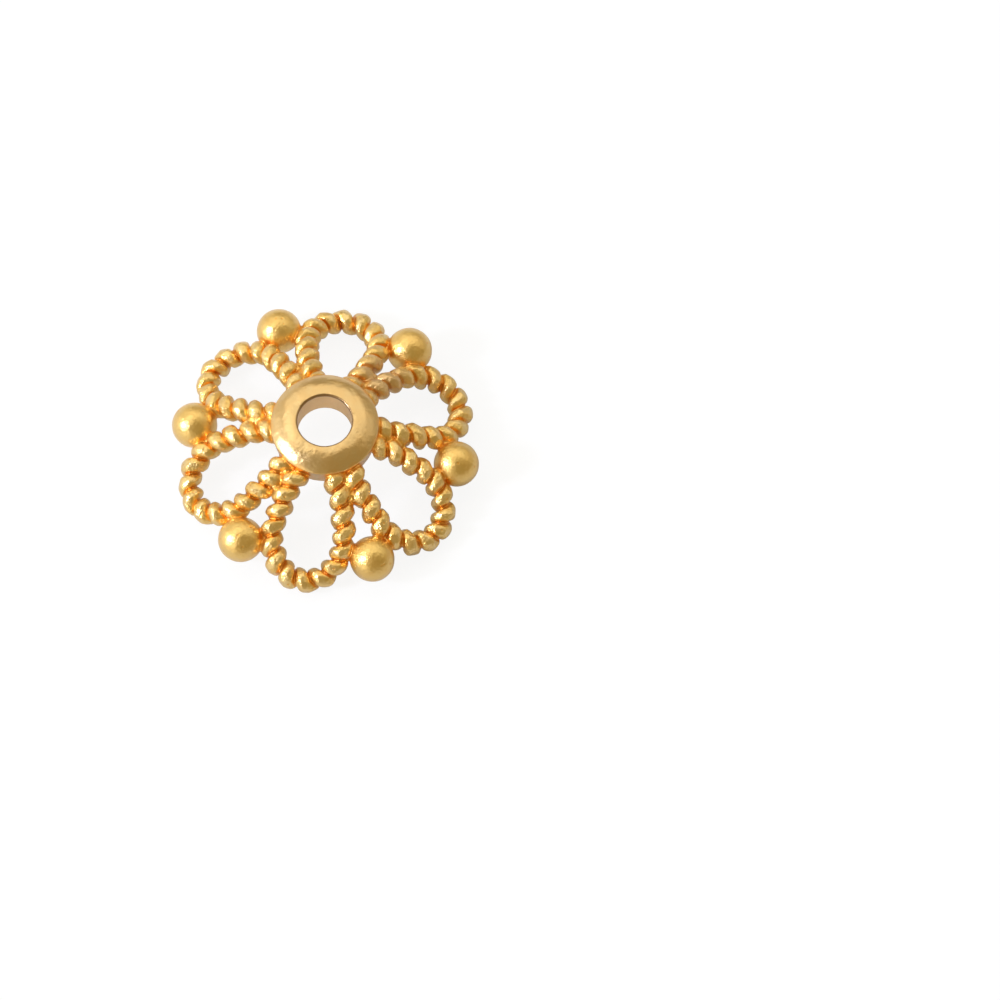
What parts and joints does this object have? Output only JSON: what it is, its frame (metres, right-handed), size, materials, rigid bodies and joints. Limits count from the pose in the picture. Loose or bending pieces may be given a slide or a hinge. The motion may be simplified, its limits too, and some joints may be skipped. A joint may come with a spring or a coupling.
{
  "type": "bead cap",
  "caption": "Flower-shaped filigree bead cap: domed collar with a thread hole, looped petals of rope wire and small balls between them.",
  "frame": {"origin": "on the surface that the petals' tips rest on, under the middle of the thread hole", "axes": "+Z along the thread hole, from the bead's side towards the dome; +X through the middle of one petal"},
  "size_m": [0.0118, 0.012, 0.0034],
  "materials": {
    "matte_gold_plate": "satin gold plate over a cast surface, deeper orange in the grooves"
  },
  "bodies": {
    "root": {"bead_cap": "matte_gold_plate"}
  },
  "joints": []
}
